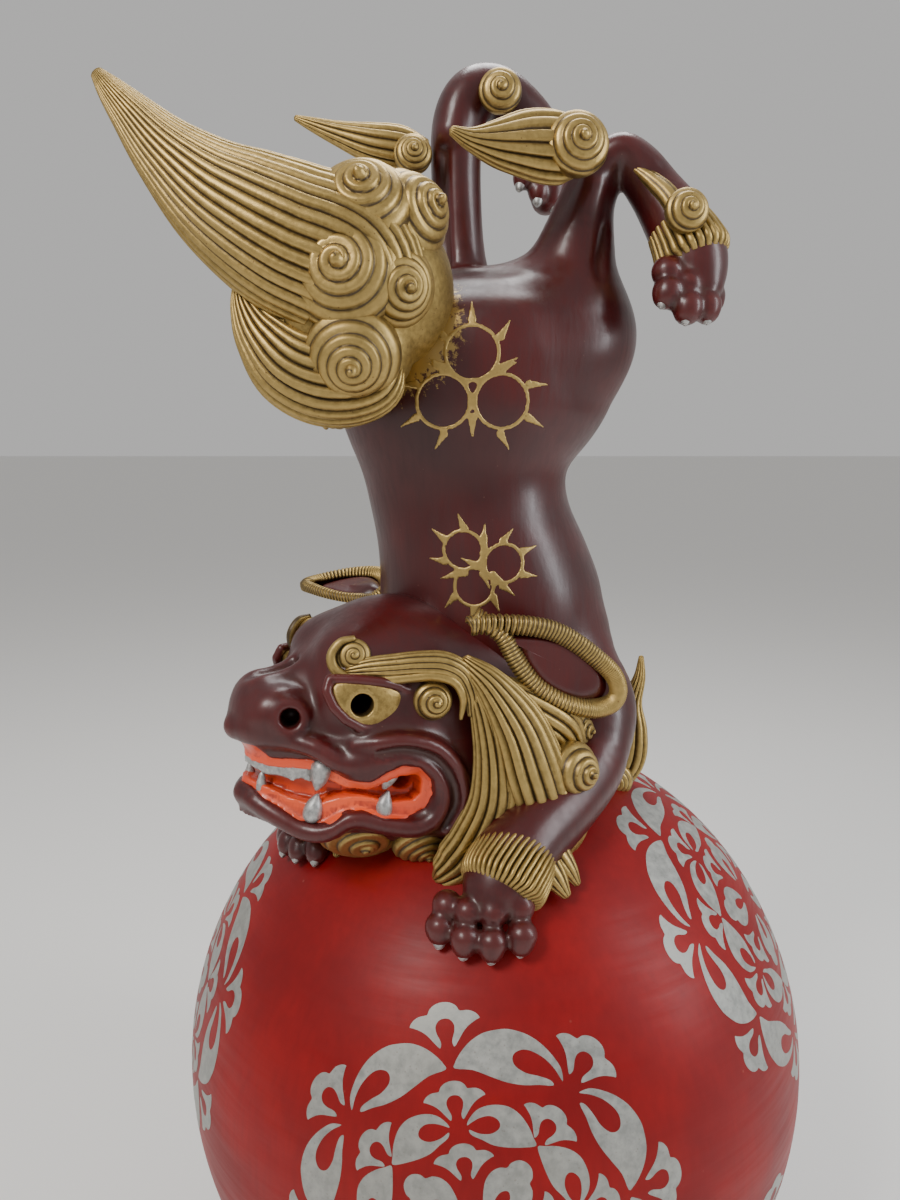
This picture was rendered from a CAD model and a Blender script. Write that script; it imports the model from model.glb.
import math

import bmesh
import bpy
import numpy as np
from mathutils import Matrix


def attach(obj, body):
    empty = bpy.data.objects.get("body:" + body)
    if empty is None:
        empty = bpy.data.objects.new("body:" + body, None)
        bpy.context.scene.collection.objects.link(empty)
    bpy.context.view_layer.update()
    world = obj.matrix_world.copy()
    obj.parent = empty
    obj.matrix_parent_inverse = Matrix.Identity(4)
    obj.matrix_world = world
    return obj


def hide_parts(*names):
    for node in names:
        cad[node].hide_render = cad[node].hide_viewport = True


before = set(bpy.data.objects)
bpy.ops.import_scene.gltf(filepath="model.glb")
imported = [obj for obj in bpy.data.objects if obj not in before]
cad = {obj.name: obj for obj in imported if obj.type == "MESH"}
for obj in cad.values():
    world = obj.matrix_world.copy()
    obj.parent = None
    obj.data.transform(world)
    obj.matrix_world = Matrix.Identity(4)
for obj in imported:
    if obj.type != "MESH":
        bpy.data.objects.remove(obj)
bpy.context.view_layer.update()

import openvdb
from mathutils import Vector
from mathutils.geometry import delaunay_2d_cdt

# ---------------------------------------------------------------- plinth
# A turned wooden foot under the ball, finished in black lacquer with a felt pad glued below.
# A steel bolt and a wide washer come up through it and clamp the ball on.


def finish(name, colour, rough, metal=0.0, coat=0.0, coat_rough=0.15, specular=0.5):
    """A finish with its even values on the shader; hands back the material, its tree and the shader."""
    material = bpy.data.materials.new(name)
    material.use_nodes = True
    tree = material.node_tree
    shader = tree.nodes["Principled BSDF"]
    shader.inputs["Base Color"].default_value = (*colour, 1)
    shader.inputs["Roughness"].default_value = rough
    shader.inputs["Metallic"].default_value = metal
    shader.inputs["Coat Weight"].default_value = coat
    shader.inputs["Coat Roughness"].default_value = coat_rough
    shader.inputs["Specular IOR Level"].default_value = specular
    return material, tree, shader


def node(tree, kind, inputs=None, **settings):
    """Adds a node, sets what it is told, and wires or sets its inputs."""
    made = tree.nodes.new(kind)
    for key, value in settings.items():
        setattr(made, key, value)
    for key, value in (inputs or {}).items():
        if isinstance(value, bpy.types.NodeSocket):
            tree.links.new(value, made.inputs[key])
        else:
            made.inputs[key].default_value = value
    return made


def blend_colours(tree, share, first, second, mode="MIX"):
    """One colour over another, by a share that may change over the surface."""
    mix = node(tree, "ShaderNodeMix", data_type="RGBA", blend_type=mode)
    for slot, value in (("Factor_Float", share), ("A_Color", first), ("B_Color", second)):
        socket = next(s for s in mix.inputs if s.identifier == slot)
        if isinstance(value, bpy.types.NodeSocket):
            tree.links.new(value, socket)
        else:
            socket.default_value = value if slot == "Factor_Float" else (*value, 1)
    return next(s for s in mix.outputs if s.identifier == "Result_Color")


def span(tree, value, low, high, to_low, to_high):
    """A value that runs from to_low to to_high while the one read runs from low to high."""
    return node(tree, "ShaderNodeMapRange", {"Value": value, "From Min": low, "From Max": high,
                                             "To Min": to_low, "To Max": to_high}).outputs["Result"]


def effect(name, inputs, outputs):
    """An empty shader group with named inputs and outputs."""
    group = bpy.data.node_groups.new(name, "ShaderNodeTree")
    for label, (kind, value) in inputs.items():
        socket = group.interface.new_socket(label, in_out="INPUT", socket_type=kind)
        socket.default_value = value
    for label, kind in outputs.items():
        group.interface.new_socket(label, in_out="OUTPUT", socket_type=kind)
    return group, group.nodes.new("NodeGroupInput").outputs, group.nodes.new("NodeGroupOutput").inputs


def placed(tree, group, **values):
    """An effect placed in a material, with its own values."""
    made = tree.nodes.new("ShaderNodeGroup")
    made.node_tree = group
    for key, value in values.items():
        made.inputs[key.replace("_", " ")].default_value = value
    return made.outputs


def laid(tree, mask, coat, colour, share=1, low=0, high=1):
    """A second colour laid over a coat, up to a share, where a mask runs from low to high."""
    return blend_colours(tree, span(tree, mask, low, high, 0, share), coat, colour)


def worked(tree, shader, colour, marks, rough, relief=None):
    """Wires a changing colour, a gloss that follows the marks and, if told, their relief."""
    tree.links.new(colour, shader.inputs["Base Color"])
    tree.links.new(span(tree, marks, 0.3, 0.7, *rough), shader.inputs["Roughness"])
    if relief:
        raise_marks(tree, shader, marks, *relief)


def raise_marks(tree, shader, marks, strength, depth):
    """Lets the marks stand up from the surface a little."""
    bump = node(tree, "ShaderNodeBump", {"Height": marks, "Strength": strength, "Distance": depth})
    tree.links.new(bump.outputs[0], shader.inputs["Normal"])


# Brush marks: long thin streaks that a soft brush leaves in a coat of lacquer or size.
brush_marks, given, gives = effect(
    "brush marks", {"Stretch": ("NodeSocketVector", (40, 40, 8)), "Fineness": ("NodeSocketFloat", 6.0)},
    {"Streaks": "NodeSocketFloat", "Clouds": "NodeSocketFloat"})
where = node(brush_marks, "ShaderNodeTexCoord").outputs["Object"]
stretched = node(brush_marks, "ShaderNodeMapping", {"Vector": where, "Scale": given["Stretch"]})
streaks = node(brush_marks, "ShaderNodeTexNoise", {
    "Vector": stretched.outputs[0], "Scale": given["Fineness"], "Detail": 5.0, "Roughness": 0.6})
clouds = node(brush_marks, "ShaderNodeTexNoise", {"Vector": where, "Scale": 26.0, "Detail": 3.0})
brush_marks.links.new(streaks.outputs["Fac"], gives["Streaks"])
brush_marks.links.new(clouds.outputs["Fac"], gives["Clouds"])

# Grime: dust and old wax that stay in the hollows of the carving, broken up by rubbing.
grime, given, gives = effect(
    "grime in hollows", {"Reach": ("NodeSocketFloat", 1.0), "Breakup": ("NodeSocketFloat", 180.0)},
    {"Mask": "NodeSocketFloat", "Edge": "NodeSocketFloat"})
where = node(grime, "ShaderNodeTexCoord").outputs["Object"]
depth = node(grime, "ShaderNodeAttribute", attribute_name="hollow").outputs["Fac"]
patches = node(grime, "ShaderNodeTexNoise", {"Vector": where, "Scale": given["Breakup"], "Detail": 4.0})
wide = node(grime, "ShaderNodeMath", {0: depth, 1: given["Reach"]}, operation="MULTIPLY")
rubbed = node(grime, "ShaderNodeMath", {0: patches.outputs["Fac"], 1: 0.5}, operation="SUBTRACT")
broken = node(grime, "ShaderNodeMath", {0: rubbed.outputs[0], 1: 0.9, 2: wide.outputs[0]},
              operation="MULTIPLY_ADD")
mask = node(grime, "ShaderNodeMapRange", {"Value": broken.outputs[0], "From Min": 0.15, "From Max": 0.85})
edge = node(grime, "ShaderNodeMapRange", {"Value": broken.outputs[0], "From Min": -0.3, "From Max": -1.0})
grime.links.new(mask.outputs["Result"], gives["Mask"])
grime.links.new(edge.outputs["Result"], gives["Edge"])

# Specks: small pale chips and dust that sit on a finished surface.
specks, given, gives = effect(
    "specks", {"Spacing": ("NodeSocketFloat", 60.0), "Size": ("NodeSocketFloat", 0.08)},
    {"Mask": "NodeSocketFloat"})
where = node(specks, "ShaderNodeTexCoord").outputs["Object"]
spots = node(specks, "ShaderNodeTexVoronoi", {"Vector": where, "Scale": given["Spacing"],
                                              "Randomness": 1.0})
near = node(specks, "ShaderNodeMath", {0: given["Size"], 1: spots.outputs["Distance"]},
            operation="SUBTRACT")
chips = node(specks, "ShaderNodeMapRange", {"Value": near.outputs[0], "From Min": 0.0, "From Max": 0.04})
specks.links.new(chips.outputs["Result"], gives["Mask"])

black_lacquer, tree, shader = finish("black lacquer", (0.012, 0.010, 0.010), 0.22, coat=0.6)
marks = placed(tree, brush_marks, Stretch=(4, 4, 60), Fineness=3.0)
chips = placed(tree, specks, Spacing=90.0, Size=0.06)["Mask"]
worn = blend_colours(tree, marks["Clouds"], (0.010, 0.008, 0.008), (0.022, 0.016, 0.014))
dusty = laid(tree, chips, worn, (0.16, 0.13, 0.11), 0.4)
worked(tree, shader, dusty, marks["Streaks"], (0.16, 0.32))

felt, tree, shader = finish("plinth felt", (0.03, 0.05, 0.035), 0.95, specular=0.1)
where = node(tree, "ShaderNodeTexCoord").outputs["Object"]
fibres = node(tree, "ShaderNodeTexNoise", {"Vector": where, "Scale": 900.0, "Detail": 6.0})
wool = blend_colours(tree, fibres.outputs["Fac"], (0.015, 0.03, 0.02), (0.06, 0.09, 0.065))
tree.links.new(wool, shader.inputs["Base Color"])
raise_marks(tree, shader, fibres.outputs["Fac"], 0.6, 0.0006)

steel, tree, shader = finish("zinced steel", (0.55, 0.55, 0.53), 0.35, metal=1.0)
marks = placed(tree, brush_marks, Stretch=(90, 90, 20), Fineness=5.0)
plated = blend_colours(tree, marks["Clouds"], (0.42, 0.42, 0.41), (0.62, 0.62, 0.60))
worked(tree, shader, plated, marks["Streaks"], (0.26, 0.46))


def dress(material, *names):
    """Gives CAD nodes that stay in sight their finish."""
    for name in names:
        mesh = cad[name].data
        for index in range(max(1, len(mesh.materials))):
            if index < len(mesh.materials):
                mesh.materials[index] = material
            else:
                mesh.materials.append(material)


dress(black_lacquer, "plinth")
dress(felt, "plinth_felt")
dress(steel, "plinth_washer", "plinth_bolt", "left_paw_pin", "right_paw_pin")

# ---------------------------------------------------------------- ball
# Two turned limewood shells glued over a joint band, with a foot block below and a crown block
# above that takes the pins of the two paws. The outside is ground smooth and lacquered bright red.
ball_centre = Vector((0, 0, 0.165))
ball_radius = 0.150
wall = 0.012
foot_latitude = -1.35  # radians below the glued joint, where the lower shell stops at the foot block
round_steps = 256
edge_angle = 62        # degrees: a sharper fold in a piece stays a crisp edge

bare_wood, tree, shader = finish("bare limewood", (0.50, 0.36, 0.22), 0.7)
marks = placed(tree, brush_marks, Stretch=(60, 60, 6), Fineness=4.0)
grain = blend_colours(tree, marks["Streaks"], (0.36, 0.24, 0.13), (0.62, 0.47, 0.30))
worked(tree, shader, grain, marks["Clouds"], (0.6, 0.8))
dress(bare_wood, "ball_joint_band", "ball_foot_block", "ball_crown_block", "waist_dowels",
      "neck_dowel", "hip_dowels", "tail_dowel")

ball_red, tree, shader = finish("ball lacquer", (0.25, 0.005, 0.006), 0.45, coat=0.05, coat_rough=0.25,
                                specular=0.22)
marks = placed(tree, brush_marks, Stretch=(5, 5, 70), Fineness=4.0)
across = placed(tree, brush_marks, Stretch=(45, 45, 6), Fineness=7.0)
chips = placed(tree, specks, Spacing=45.0, Size=0.035)["Mask"]
coat = laid(tree, marks["Clouds"], (0.195, 0.0035, 0.005), (0.275, 0.0045, 0.005), 1, 0.35, 0.65)
coat = laid(tree, across["Streaks"], coat, (0.145, 0.003, 0.004), 0.35, 0.35, 0.75)
coat = laid(tree, chips, coat, (0.55, 0.22, 0.17), 0.35)
worked(tree, shader, coat, marks["Streaks"], (0.40, 0.56), (0.08, 0.0008))


def piece(name, mesh, material, slot, *replaced):
    """Puts a finished mesh in the scene as a piece of the statue."""
    made = bpy.data.objects.new(name, mesh)
    bpy.context.scene.collection.objects.link(made)
    mesh.materials.clear()
    mesh.materials.append(material)
    mesh.shade_smooth()
    mesh.set_sharp_from_angle(angle=math.radians(edge_angle))
    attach(made, "root")
    if replaced:
        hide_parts(*replaced)
    return made


def mesh_of(name, points, faces, hollow=None):
    """A mesh in metres from points in millimetres, with how hollow the carving is at each point."""
    mesh = bpy.data.meshes.new(name)
    mesh.from_pydata((np.asarray(points, float) / 1000).tolist(), [], [list(map(int, f)) for f in faces])
    if hollow is not None:
        mesh.attributes.new("hollow", "FLOAT", "POINT").data.foreach_set(
            "value", np.asarray(hollow, np.float32))
    mesh.update()
    return mesh


def turned(profile, steps, z_up=0.0):
    """Points and faces of a closed profile of (radius, height) spun round the upright axis."""
    way = [2 * math.pi * i / steps for i in range(steps)]
    points, faces, rows = [], [], []
    for radius, height in profile:
        if radius < 1e-6:
            rows.append([len(points)] * steps)
            points.append((0, 0, height + z_up))
        else:
            rows.append(list(range(len(points), len(points) + steps)))
            points += [(radius * math.cos(a), radius * math.sin(a), height + z_up) for a in way]
    for row, after in zip(rows, rows[1:] + rows[:1]):
        for i in range(steps):
            j = (i + 1) % steps
            face = []
            for corner in (row[i], row[j], after[j], after[i]):
                if corner not in face:
                    face.append(corner)
            if len(face) > 2:
                faces.append(face)
    return points, faces


def shell_profile(low, high, count):
    """The section of a shell between two angles of latitude: the outside up, the inside back down."""
    outside, inside = ([(1000 * r * math.cos(a), 1000 * r * math.sin(a)) for a in np.linspace(*ends)]
                       for r, ends in ((ball_radius, (low, high, count)),
                                       (ball_radius - wall, (high, low, count // 2))))
    return [(r if r > 1e-3 else 0.0, z) for r, z in outside + inside]


for name, low, high in (("ball_upper_shell", 0.0, math.pi / 2), ("ball_lower_shell", foot_latitude, 0.0)):
    points, faces = turned(shell_profile(low, high, 56), round_steps, 1000 * ball_centre.z)
    piece(name.replace("ball_", "ball_turned_"), mesh_of(name, points, faces), ball_red, "ball_lacquer",
          name)

# ---------------------------------------------------------------- silver roundels
# Stencilled flowers of silver leaf laid on the red lacquer, each a rosette of petals and palmettes
# in three rings. Three sit round the front above the middle and one behind, four more lie below.
roundel_ways = [(-0.078, -0.992, 0.099), (0.779, -0.236, 0.581), (-0.964, -0.084, 0.254),
                (0.20, 0.91, 0.36), (-0.52, -0.42, -0.74), (0.56, -0.62, -0.55),
                (-0.60, 0.58, -0.55), (0.62, 0.48, -0.62)]
pattern_pole = Vector((-0.203, -0.353, 0.913))
leaf_grid = 2.2       # mm between the points inside a leaf shape
leaf_under, leaf_over = -0.35, 0.07

palmette_side = [(-2.9, 2.9), (-5, 5.1), (-7.1, 7.5), (-9.6, 9.4), (-12.7, 10.8), (-14, 11.3),
                 (-12.7, 13.1), (-10.2, 14.4), (-7.1, 14.7), (-6.3, 15), (-5.5, 16.4), (-4, 17.6),
                 (-2, 18.3)]
palmette_notch = [(-2.2, 4.4), (-2.6, 6), (-3.5, 8), (-3.7, 10.3), (-2.3, 12.2)]
petal_1 = [(-1.8, 57.9), (-2.2, 59.8), (-4.1, 62.2), (-6.9, 64.7), (-10.2, 66.7), (-14.6, 68.2),
           (-20.1, 68.4), (-24.4, 67.8), (-29.7, 65.5), (-33.8, 62.5), (-37.3, 58.6), (-40.2, 53.9),
           (-41.5, 50.3), (-41.3, 46.7), (-40.7, 47.1), (-39.2, 50.7), (-36.3, 55.0), (-32.2, 58.5),
           (-28.5, 60.0), (-25.2, 59.5), (-23.9, 57.6), (-24.7, 54.9), (-28.2, 52.0), (-32.4, 50.2),
           (-36.6, 47.8), (-37.3, 45.8), (-32.1, 47.2), (-26.8, 48.2), (-20.6, 50.3), (-14.5, 53.4),
           (-8.4, 56.5)]
petal_2 = [(-3.3, 38.6), (-4.4, 40.6), (-7.6, 43.1), (-11.7, 44.0), (-15.9, 43.6), (-19.9, 42.1),
           (-23.3, 38.8), (-25.6, 34.2), (-26.6, 30.1), (-27.0, 27.5), (-23.1, 27.7), (-16.9, 28.9),
           (-11.9, 30.5), (-8.0, 33.0), (-4.6, 35.0), (-3.7, 36.5), (-4.2, 36.9), (-7.1, 35.3),
           (-11.2, 34.5), (-14.3, 35.4), (-15.4, 37.1), (-14.5, 39.1), (-12.0, 40.5), (-8.4, 40.4),
           (-5.3, 39.4)]
heart_side = [(-1.6, 8.5), (-3.6, 9.8), (-5.7, 12.1), (-7.5, 15), (-8.9, 18.5), (-8.8, 22.1), (-7.2, 24.9),
              (-5.0, 26.4), (-4.7, 28.6), (-2.8, 31)]
heart_notch = [(-0.9, 9.6), (-1.7, 12), (-2.3, 15), (-2.2, 17.6), (-1.2, 19.2)]


def flow(stations, steps, closed=False):
    """A smooth run (Catmull-Rom) through stations of any width, steps points to each gap."""
    s = np.asarray(stations, float)
    if closed:
        s = np.vstack([s[-1:], s, s[:2]])
    else:
        s = np.vstack([2 * s[0] - s[1], s, 2 * s[-1] - s[-2]])
    out = []
    for i in range(1, len(s) - 2):
        a, b, c, d = s[i - 1:i + 3]
        for t in np.arange(steps) / steps:
            out.append(0.5 * (2 * b + (c - a) * t + (2 * a - 5 * b + 4 * c - d) * t * t
                              + (3 * b - 3 * c + d - a) * t ** 3))
    if not closed:
        out.append(s[-2])
    return np.array(out)


def whole(side, notch, crown, pit):
    """A mirrored outline from its left side and the left side of the notch up its middle."""
    mirror = [(-x, y) for x, y in side[::-1]]
    return side + [crown] + mirror + [(-x, y) for x, y in notch] + [pit] + notch[::-1]


def moved(outline, shift=(0, 0), scale=1.0, turn=0.0, flip=False):
    """An outline scaled, shifted outwards and turned round the middle of the roundel."""
    c, s = math.cos(turn), math.sin(turn)
    out = []
    for x, y in outline:
        x, y = (-x if flip else x) * scale + shift[0], y * scale + shift[1]
        out.append((c * x - s * y, s * x + c * y))
    return out[::-1] if flip else out


def inside(outline, x, y):
    """Which of the points lie inside a closed outline."""
    within = np.zeros(np.shape(x), bool)
    for (ax, ay), (bx, by) in zip(outline, np.roll(outline, -1, axis=0)):
        if ay != by:
            within ^= ((ay > y) != (by > y)) & (x < (bx - ax) * (y - ay) / (by - ay) + ax)
    return within


def leaf_shape(outline):
    """Points and faces of one flat piece of leaf, a closed sheet with a thin wall round it."""
    rim = flow(outline, 3, closed=True)
    low, high = rim.min(0), rim.max(0)
    gx, gy = np.meshgrid(np.arange(low[0], high[0], leaf_grid), np.arange(low[1], high[1], leaf_grid))
    grid = np.stack([gx.ravel(), gy.ravel()], 1)
    grid = grid[inside(rim, grid[:, 0], grid[:, 1])]
    gap = np.linalg.norm(grid[:, None] - rim[None], axis=2).min(1) if len(grid) else np.zeros(0)
    grid = grid[gap > 0.45 * leaf_grid]
    count = len(rim)
    corners = [Vector(p) for p in np.vstack([rim, grid])]
    got = delaunay_2d_cdt(corners, [(i, (i + 1) % count) for i in range(count)], [], 1, 1e-4)
    flat, faces = got[0], got[2]
    total = len(flat)
    points = [(p.x, p.y, leaf_over) for p in flat] + [(p.x, p.y, leaf_under) for p in flat]
    sheets = []
    sides = {}
    for face in faces:
        a, b, c = (flat[i] for i in face)
        if (b - a).cross(c - a) < 0:
            face = face[::-1]
        sheets += [list(face), [i + total for i in face[::-1]]]
        for i, j in zip(face, face[1:] + face[:1]):
            sides[(i, j)] = True
    for i, j in sides:
        if (j, i) not in sides:
            sheets.append([j, i, i + total, j + total])
    return points, sheets


def joined(parts):
    """Several sets of points and faces as one."""
    points, faces = [], []
    for some_points, some_faces in parts:
        start = len(points)
        points += list(some_points)
        faces += [[i + start for i in face] for face in some_faces]
    return points, faces


palmette = whole(palmette_side, palmette_notch, (0, 18.5), (0, 12.8))
heart = whole(heart_side, heart_notch, (0, 31.8), (0, 19.8))
diagonal = math.pi / 4
shapes = [moved(palmette, (0, 62.3)), moved(palmette, (0, 38.4), 0.84), moved(palmette, (0, 18.0), 0.80),
          moved(palmette, (0, 62.3), turn=diagonal), moved(palmette, (0, 38.0), 0.84, turn=diagonal),
          moved(heart, turn=diagonal)]
for flip in (False, True):
    shapes += [moved(petal_1, flip=flip), moved(petal_2, flip=flip)]
quarter = mesh_of("roundel quarter", *joined([leaf_shape(shape) for shape in shapes]))


def geometry_tree(name, sizes):
    """A Geometry Nodes tree with geometry in and out and named inputs for its sizes."""
    made = bpy.data.node_groups.new(name, "GeometryNodeTree")
    made.interface.new_socket("Geometry", in_out="INPUT", socket_type="NodeSocketGeometry")
    for label, (kind, value) in sizes.items():
        socket = made.interface.new_socket(label, in_out="INPUT", socket_type=kind)
        if value is not None:
            socket.default_value = value
    made.interface.new_socket("Geometry", in_out="OUTPUT", socket_type="NodeSocketGeometry")
    return made, made.nodes.new("NodeGroupInput").outputs, made.nodes.new("NodeGroupOutput").inputs


def math_node(tree, operation, *values, vector=False, out=0):
    """The result of one sum on numbers or on vectors."""
    kind = "ShaderNodeVectorMath" if vector else "ShaderNodeMath"
    return node(tree, kind, dict(enumerate(values)), operation=operation).outputs[out]


def set_on_points(tree, points, shape):
    """Stands a shape on each point: its Z along the point's way, its size from the point's size."""
    way = node(tree, "GeometryNodeInputNamedAttribute", {"Name": "way"}, data_type="FLOAT_VECTOR")
    up = node(tree, "GeometryNodeInputNamedAttribute", {"Name": "up"}, data_type="FLOAT_VECTOR")
    size = node(tree, "GeometryNodeInputNamedAttribute", {"Name": "size"}, data_type="FLOAT_VECTOR")
    stood = node(tree, "FunctionNodeAlignRotationToVector", {"Vector": way.outputs[0]}, axis="Z")
    turned_to = node(tree, "FunctionNodeAlignRotationToVector",
                     {"Rotation": stood.outputs[0], "Vector": up.outputs[0]}, axis="Y", pivot_axis="Z")
    return node(tree, "GeometryNodeInstanceOnPoints", {"Points": points, "Instance": shape,
                                                       "Rotation": turned_to.outputs[0],
                                                       "Scale": size.outputs[0]}).outputs[0]


def finished(tree, shape, material, gives):
    """Ends a tree: the copies made real and their finish set."""
    real = node(tree, "GeometryNodeRealizeInstances", {"Geometry": shape}).outputs[0]
    done = node(tree, "GeometryNodeSetMaterial", {"Geometry": real, "Material": material}).outputs[0]
    tree.links.new(done, gives["Geometry"])


def spots_mesh(name, spots, ways, ups, sizes):
    """Bare points in metres with the way, up and size of the copy that each one gets."""
    mesh = bpy.data.meshes.new(name)
    mesh.from_pydata([tuple(c / 1000 for c in s) for s in spots], [], [])
    for label, values in (("way", ways), ("up", ups), ("size", sizes)):
        mesh.attributes.new(label, "FLOAT_VECTOR", "POINT").data.foreach_set(
            "vector", np.asarray(values, np.float32).ravel())
    return mesh


def grown(name, mesh, tree, **values):
    """Runs a tree on a mesh and hands back the plain mesh that it makes."""
    holder = bpy.data.objects.new(name, mesh)
    bpy.context.scene.collection.objects.link(holder)
    modifier = holder.modifiers.new(name, "NODES")
    modifier.node_group = tree
    for item in tree.interface.items_tree:
        label = item.name.replace(" ", "_")
        if item.item_type == "SOCKET" and item.in_out == "INPUT" and label in values:
            modifier[item.identifier] = values[label]
    seen = holder.evaluated_get(bpy.context.evaluated_depsgraph_get())
    plain = bpy.data.meshes.new_from_object(seen)
    holder.modifiers.clear()
    bpy.data.objects.remove(holder)
    plain.name = name
    return plain


def master(mesh):
    """An object that only lends its mesh to a tree; it is taken away once the tree has run."""
    made = bpy.data.objects.new(mesh.name, mesh)
    bpy.context.scene.collection.objects.link(made)
    return made


# The tree turns the quarter into a full rosette, wraps it on the ball and sets one on each spot.
roundels, given, gives = geometry_tree("roundels on a ball", {
    "Quarter": ("NodeSocketObject", None), "Ball radius": ("NodeSocketFloat", 0.15),
    "Repeats": ("NodeSocketInt", 4), "Leaf": ("NodeSocketMaterial", None)})
flat = node(roundels, "GeometryNodeObjectInfo", {"Object": given["Quarter"]}).outputs["Geometry"]
ring = node(roundels, "GeometryNodePoints", {"Count": given["Repeats"]}).outputs[0]
index = node(roundels, "GeometryNodeInputIndex").outputs[0]
turn = math_node(roundels, "DIVIDE", math_node(roundels, "MULTIPLY", index, 2 * math.pi), given["Repeats"])
spin = node(roundels, "ShaderNodeCombineXYZ", {"Z": turn}).outputs[0]
rosette = node(roundels, "GeometryNodeInstanceOnPoints", {"Points": ring, "Instance": flat,
                                                          "Rotation": spin})
rosette = node(roundels, "GeometryNodeRealizeInstances", {"Geometry": rosette.outputs[0]}).outputs[0]
place = node(roundels, "GeometryNodeInputPosition").outputs[0]
split = node(roundels, "ShaderNodeSeparateXYZ", {"Vector": place}).outputs
level = node(roundels, "ShaderNodeCombineXYZ", {"X": split["X"], "Y": split["Y"]}).outputs[0]
reach = node(roundels, "ShaderNodeVectorMath", {0: level}, operation="LENGTH").outputs["Value"]
swing = math_node(roundels, "DIVIDE", reach, given["Ball radius"])
outward = node(roundels, "ShaderNodeVectorMath", {0: level}, operation="NORMALIZE").outputs[0]
lift = math_node(roundels, "ADD", given["Ball radius"], split["Z"])
aside = node(roundels, "ShaderNodeVectorMath", {0: outward, "Scale": math_node(
    roundels, "MULTIPLY", lift, math_node(roundels, "SINE", swing))}, operation="SCALE").outputs[0]
above = node(roundels, "ShaderNodeCombineXYZ", {"Z": math_node(
    roundels, "MULTIPLY", lift, math_node(roundels, "COSINE", swing))}).outputs[0]
wrapped = node(roundels, "GeometryNodeSetPosition", {
    "Geometry": rosette, "Position": math_node(roundels, "ADD", aside, above, vector=True)}).outputs[0]
finished(roundels, set_on_points(roundels, given["Geometry"], wrapped), given["Leaf"], gives)

silver_leaf, tree, shader = finish("silver leaf", (0.42, 0.42, 0.40), 0.5, metal=0.5)
marks = placed(tree, brush_marks, Stretch=(30, 30, 30), Fineness=9.0)
chips = placed(tree, specks, Spacing=420.0, Size=0.16)["Mask"]
leaf = laid(tree, marks["Streaks"], (0.27, 0.275, 0.26), (0.40, 0.40, 0.375), 1, 0.35, 0.65)
leaf = laid(tree, marks["Clouds"], leaf, (0.30, 0.29, 0.25), 0.45, 0.45, 0.75)
leaf = laid(tree, chips, leaf, (0.20, 0.16, 0.14), 0.35)
worked(tree, shader, leaf, marks["Streaks"], (0.42, 0.62), (0.25, 0.0004))

ups = [pattern_pole - Vector(way) * pattern_pole.dot(Vector(way)) for way in roundel_ways]
spots = spots_mesh("roundel spots", [tuple(ball_centre * 1000)] * len(roundel_ways), roundel_ways, ups,
                   [(1, 1, 1)] * len(roundel_ways))
lender = master(quarter)
roundel_mesh = grown("silver_roundels", spots, roundels, Quarter=lender, Ball_radius=ball_radius,
                     Leaf=silver_leaf)
bpy.data.objects.remove(lender)
piece("silver_roundels", roundel_mesh, silver_leaf, "silvering")

# ---------------------------------------------------------------- body and limbs
# Blocks of limewood pinned together, carved as one, then ground and finished in dark red lacquer.
# The figure stands on its forepaws, so the chest is at the bottom and the hind legs kick above.


class Clay:
    """A block on a grid, in millimetres, that shapes are pressed on to or cut out of."""

    def __init__(self, low, high, cell):
        self.cell = cell
        self.low = np.array(low, float)
        self.ticks = [np.arange(a, b, cell) for a, b in zip(low, high)]
        self.skin = np.full([len(t) for t in self.ticks], 30.0, np.float32)

    def press(self, shape, soft=3.0, away=False):
        """Adds a shape with a soft join, or takes it away."""
        depth, low, high = shape
        reach = soft + 4 * self.cell
        window = tuple(slice(*np.searchsorted(t, (a - reach, b + reach)))
                       for t, a, b in zip(self.ticks, low, high))
        there = self.skin[window]
        if there.size == 0:
            return
        new = depth(*np.ix_(*[t[w] for t, w in zip(self.ticks, window)])).astype(np.float32)
        a, b = (-there, new) if away else (there, new)
        h = np.clip(0.5 + 0.5 * (b - a) / soft, 0, 1)
        mixed = b + (a - b) * h - soft * h * (1 - h)
        self.skin[window] = -mixed if away else mixed

    def shaped(self):
        """Points, faces and hollowness of the skin."""
        hollow_gain = 3.0
        grid = openvdb.FloatGrid(30.0)
        grid.copyFromArray(np.ascontiguousarray(self.skin))
        points, _, quads = grid.convertToPolygons(0.0, 0.0)
        step = 2
        wide = np.zeros_like(self.skin)
        for axis in range(3):
            wide += np.roll(self.skin, step, axis) + np.roll(self.skin, -step, axis)
        curve = (wide - 6 * self.skin) / (step * self.cell) ** 2
        at_point = np.clip(np.rint(points).astype(int), 0, np.array(self.skin.shape) - 1)
        hollow = np.clip(-curve[tuple(at_point.T)] * hollow_gain, -1, 1)
        return points * self.cell + self.low, quads, hollow


def bones(stations, steps=5, grow=0.0):
    """One round-sided run through stations of (x, y, z, radius)."""
    run = flow(stations, steps) if steps > 1 else np.asarray(stations, float)
    run[:, 3] += grow

    def depth(x, y, z):
        best = np.float32(1e3)
        for (ax, ay, az, ra), (bx, by, bz, rb) in zip(run, run[1:]):
            dx, dy, dz = bx - ax, by - ay, bz - az
            t = np.clip(((x - ax) * dx + (y - ay) * dy + (z - az) * dz)
                        / (dx * dx + dy * dy + dz * dz + 1e-9), 0, 1)
            gap = np.sqrt((x - ax - t * dx) ** 2 + (y - ay - t * dy) ** 2 + (z - az - t * dz) ** 2)
            best = np.minimum(best, gap - ra - t * (rb - ra))
        return best
    pad = run[:, 3:4]
    return depth, (run[:, :3] - pad).min(0), (run[:, :3] + pad).max(0)


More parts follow.
